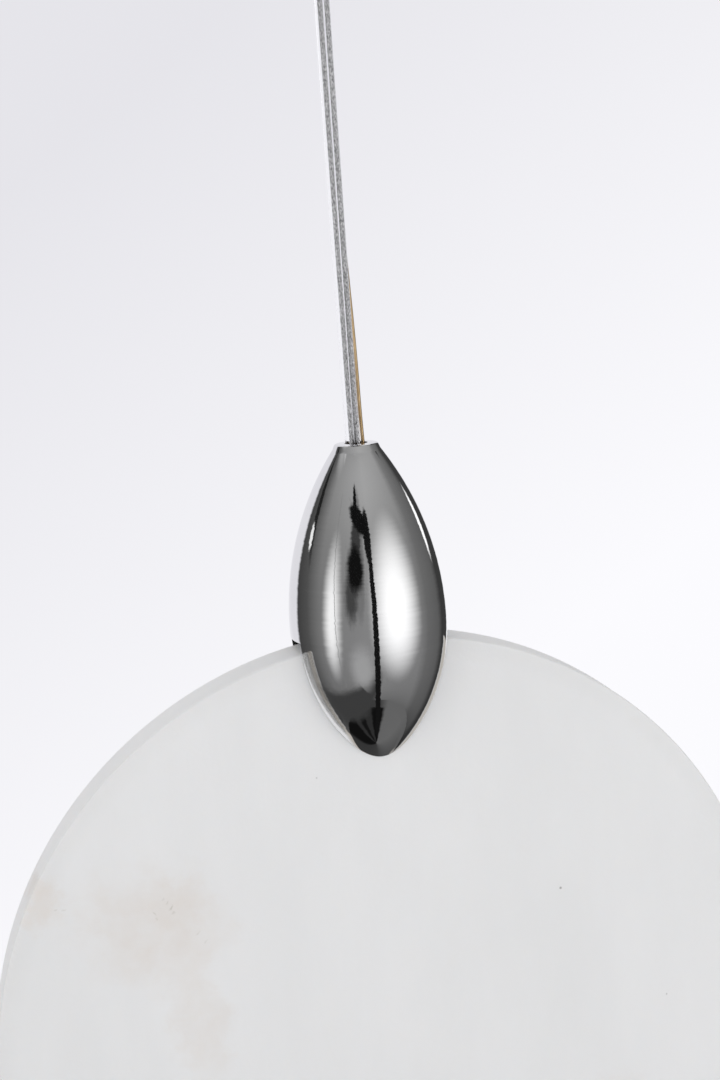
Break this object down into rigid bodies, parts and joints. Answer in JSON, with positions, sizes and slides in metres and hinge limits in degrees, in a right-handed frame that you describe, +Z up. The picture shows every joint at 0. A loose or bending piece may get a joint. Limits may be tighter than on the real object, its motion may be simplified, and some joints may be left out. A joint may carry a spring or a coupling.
{
  "type": "pendant light",
  "caption": "Pendant light with a round translucent stone plate held in the slot of a polished olive-shaped body, hung on a clear cable and a wire from a ceiling canopy.",
  "frame": {"origin": "centre of the ceiling face of the bracket, between its two screw slots", "axes": "+Z up towards the ceiling, X along the bracket and in the plane of the stone plate, -Y towards the plate's front face"},
  "size_m": [0.25, 0.12, 0.5208],
  "materials": {
    "stone": "honed translucent alabaster, faint beige clouding",
    "body_chrome": "polished with fine turning marks",
    "canopy_chrome": "polished",
    "zinc_steel": "zinc plated",
    "brass": "turned",
    "wire_gold": "brass plated steel wire",
    "cable_clear": "clear, glossy",
    "core_silver": "tinned copper strands",
    "white_nylon": "moulded nylon",
    "driver_plastic": "moulded, fine grain",
    "lead_plastic": "insulated leads",
    "earth_plastic": "green and yellow insulated lead",
    "foam": "foam tape",
    "circuit_board": "glass fibre board",
    "electronics": "moulded components",
    "led_aluminium": "white coated aluminium board",
    "led_phosphor": "phosphor",
    "diffuser": "opal acrylic",
    "silicone": "translucent silicone"
  },
  "bodies": {
    "ceiling_fitting": {"mounting_bracket": "zinc_steel", "canopy": "canopy_chrome", "canopy_screws": "canopy_chrome", "canopy_stiffener": "zinc_steel", "swivel_stem": "brass", "stem_washer": "zinc_steel", "stem_nut": "brass", "swivel_cup": "canopy_chrome", "strain_relief": "white_nylon", "relief_screw": "zinc_steel", "inner_cable": "cable_clear", "output_leads": "lead_plastic", "foam_pads": "foam", "driver_case": "driver_plastic", "driver_lid": "driver_plastic", "driver_screws": "zinc_steel", "driver_board": "circuit_board", "driver_parts": "electronics", "terminal_block": "white_nylon", "terminal_screws": "brass", "input_leads": "lead_plastic", "earth_tag": "zinc_steel", "earth_screw": "brass", "earth_lead": "earth_plastic"},
    "swivel_seat": {"seat_ring": "white_nylon"},
    "hanging_cord": {"swivel_ball": "canopy_chrome", "wire_ferrule": "brass", "power_cable": "cable_clear", "cable_cores": "core_silver", "suspension_wire": "wire_gold", "cord_anchor": "brass"},
    "lamp_body": {"anchor_washer": "silicone", "fitting_body": "body_chrome", "led_board": "led_aluminium", "led_chips": "led_phosphor", "led_screws": "zinc_steel", "led_diffuser": "diffuser", "led_leads": "lead_plastic", "slot_pads": "silicone", "clamp_screws": "zinc_steel", "screw_sleeves": "white_nylon", "stone_disc": "stone"}
  },
  "joints": [
    {"name": "swivel_turn", "type": "hinge", "parent": "ceiling_fitting", "child": "swivel_seat", "pos_m": [0, 0, -0.0525], "axis": [0, 0, 1], "range_deg": [-170, 170]},
    {"name": "cord_swing", "type": "hinge", "parent": "swivel_seat", "child": "hanging_cord", "pos_m": [0, 0, -0.0525], "axis": [1, 0, 0], "range_deg": [-15, 15]},
    {"name": "body_rock", "type": "hinge", "parent": "hanging_cord", "child": "lamp_body", "pos_m": [0, 0, -0.2128], "axis": [0, 1, 0], "range_deg": [-6, 6]}
  ]
}
